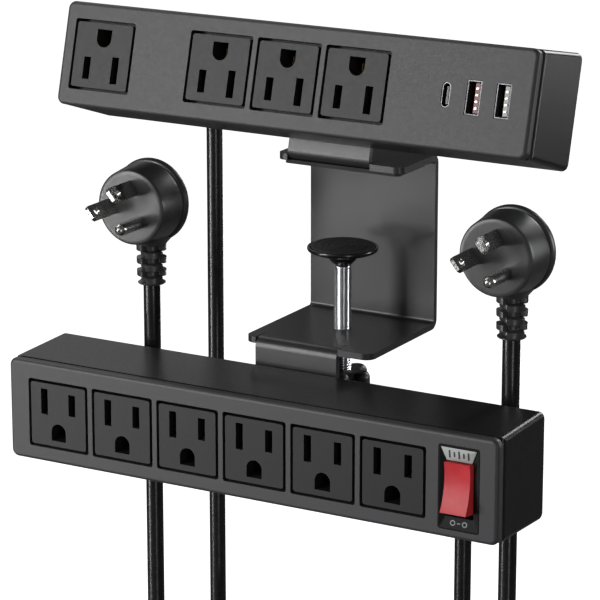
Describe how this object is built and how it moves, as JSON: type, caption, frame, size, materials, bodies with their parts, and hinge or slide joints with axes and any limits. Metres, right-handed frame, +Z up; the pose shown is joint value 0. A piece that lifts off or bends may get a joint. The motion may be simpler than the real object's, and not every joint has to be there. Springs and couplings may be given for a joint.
{
  "type": "desk power strip",
  "caption": "Two mains outlet bars, one with USB ports and one with a rocker switch, on a screw clamp for a desk edge, each with its own corded plug.",
  "frame": {"origin": "where the clamp screw's axis meets the top of the desk, on the underside of the jaw pad", "axes": "+Z up, -Y towards the user, +X to the user's right, along both bars"},
  "size_m": [0.2116, 0.1338, 0.3562],
  "materials": {
    "bar_housing": "black moulded plastic, fine grain",
    "bar_panel": "black moulded plastic front panel, fine grain",
    "outlet_insert": "black moulded plastic insert",
    "contact_brass": "stamped brass",
    "usb_steel": "plated steel shell",
    "usb_red": "red plastic tongue",
    "usb_white": "white plastic tongue",
    "usb_black": "black plastic tongue",
    "circuit_board": "green circuit board",
    "switch_black": "black semi-gloss plastic",
    "rocker_red": "translucent red plastic",
    "steel_pin": "drawn steel",
    "terminal_tin": "tinned brass",
    "bracket_black": "black powder coat on steel sheet",
    "pad_rubber": "soft rubber",
    "zinc": "bright zinc plate",
    "knob_black": "black moulded plastic",
    "cord_black": "satin black cord jacket",
    "plug_black": "black overmoulded vinyl",
    "plug_blade": "nickel plate",
    "tie_fabric": "woven hook-and-loop tie"
  },
  "bodies": {
    "frame": {"bracket_screws": "zinc", "clamp_bracket": "bracket_black", "clinch_nut": "zinc", "jaw_pad": "pad_rubber", "lower_coil": "cord_black", "lower_coil_tie": "tie_fabric", "lower_cord_drop": "cord_black", "lower_cord_rise": "cord_black", "lower_end_cap_left": "bar_housing", "lower_end_cap_right": "bar_housing", "lower_front_panel": "bar_panel", "lower_ground_bus": "contact_brass", "lower_housing": "bar_housing", "lower_line_bus": "contact_brass", "lower_neutral_bus": "contact_brass", "lower_outlet_1": "outlet_insert", "lower_outlet_2": "outlet_insert", "lower_outlet_3": "outlet_insert", "lower_outlet_4": "outlet_insert", "lower_outlet_5": "outlet_insert", "lower_outlet_6": "outlet_insert", "lower_plug_body": "plug_black", "lower_plug_pins": "plug_blade", "lower_strain_relief": "plug_black", "rocker_pivot_pin": "steel_pin", "switch_bezel": "switch_black", "switch_terminals": "terminal_tin", "upper_coil": "cord_black", "upper_coil_tie": "tie_fabric", "upper_cord_drop": "cord_black", "upper_cord_rise": "cord_black", "upper_end_cap_left": "bar_housing", "upper_end_cap_right": "bar_housing", "upper_front_panel": "bar_panel", "upper_ground_bus": "contact_brass", "upper_housing": "bar_housing", "upper_line_bus": "contact_brass", "upper_neutral_bus": "contact_brass", "upper_outlet_1": "outlet_insert", "upper_outlet_2": "outlet_insert", "upper_outlet_3": "outlet_insert", "upper_outlet_4": "outlet_insert", "upper_plug_body": "plug_black", "upper_plug_pins": "plug_blade", "upper_strain_relief": "plug_black", "usb_a_socket_1": "usb_steel", "usb_a_socket_2": "usb_steel", "usb_a_tongue_1": "usb_red", "usb_a_tongue_2": "usb_white", "usb_board": "circuit_board", "usb_c_socket": "usb_steel", "usb_c_tongue": "usb_black"},
    "foot": {"pressure_disc": "bracket_black", "pressure_pad": "pad_rubber"},
    "screw": {"clamp_screw": "zinc", "screw_knob": "knob_black"},
    "rocker": {"switch_rocker": "rocker_red"}
  },
  "joints": [
    {"name": "foot_lift", "type": "slide", "parent": "frame", "child": "foot", "axis": [0, 0, 1], "range_m": [-0.024, 0.01]},
    {"name": "screw_turn", "type": "hinge", "parent": "foot", "child": "screw", "pos_m": [0, 0, -0.06], "axis": [0, 0, 1], "range_deg": [-8640, 3600]},
    {"name": "rocker_tilt", "type": "hinge", "parent": "frame", "child": "rocker", "pos_m": [0.0855, -0.061, -0.0953], "axis": [1, 0, 0], "range_deg": [0, 18]}
  ],
  "couplings": [
    {"joint": "foot_lift", "follows": "screw_turn", "m_per_rad": 0.00015915}
  ]
}
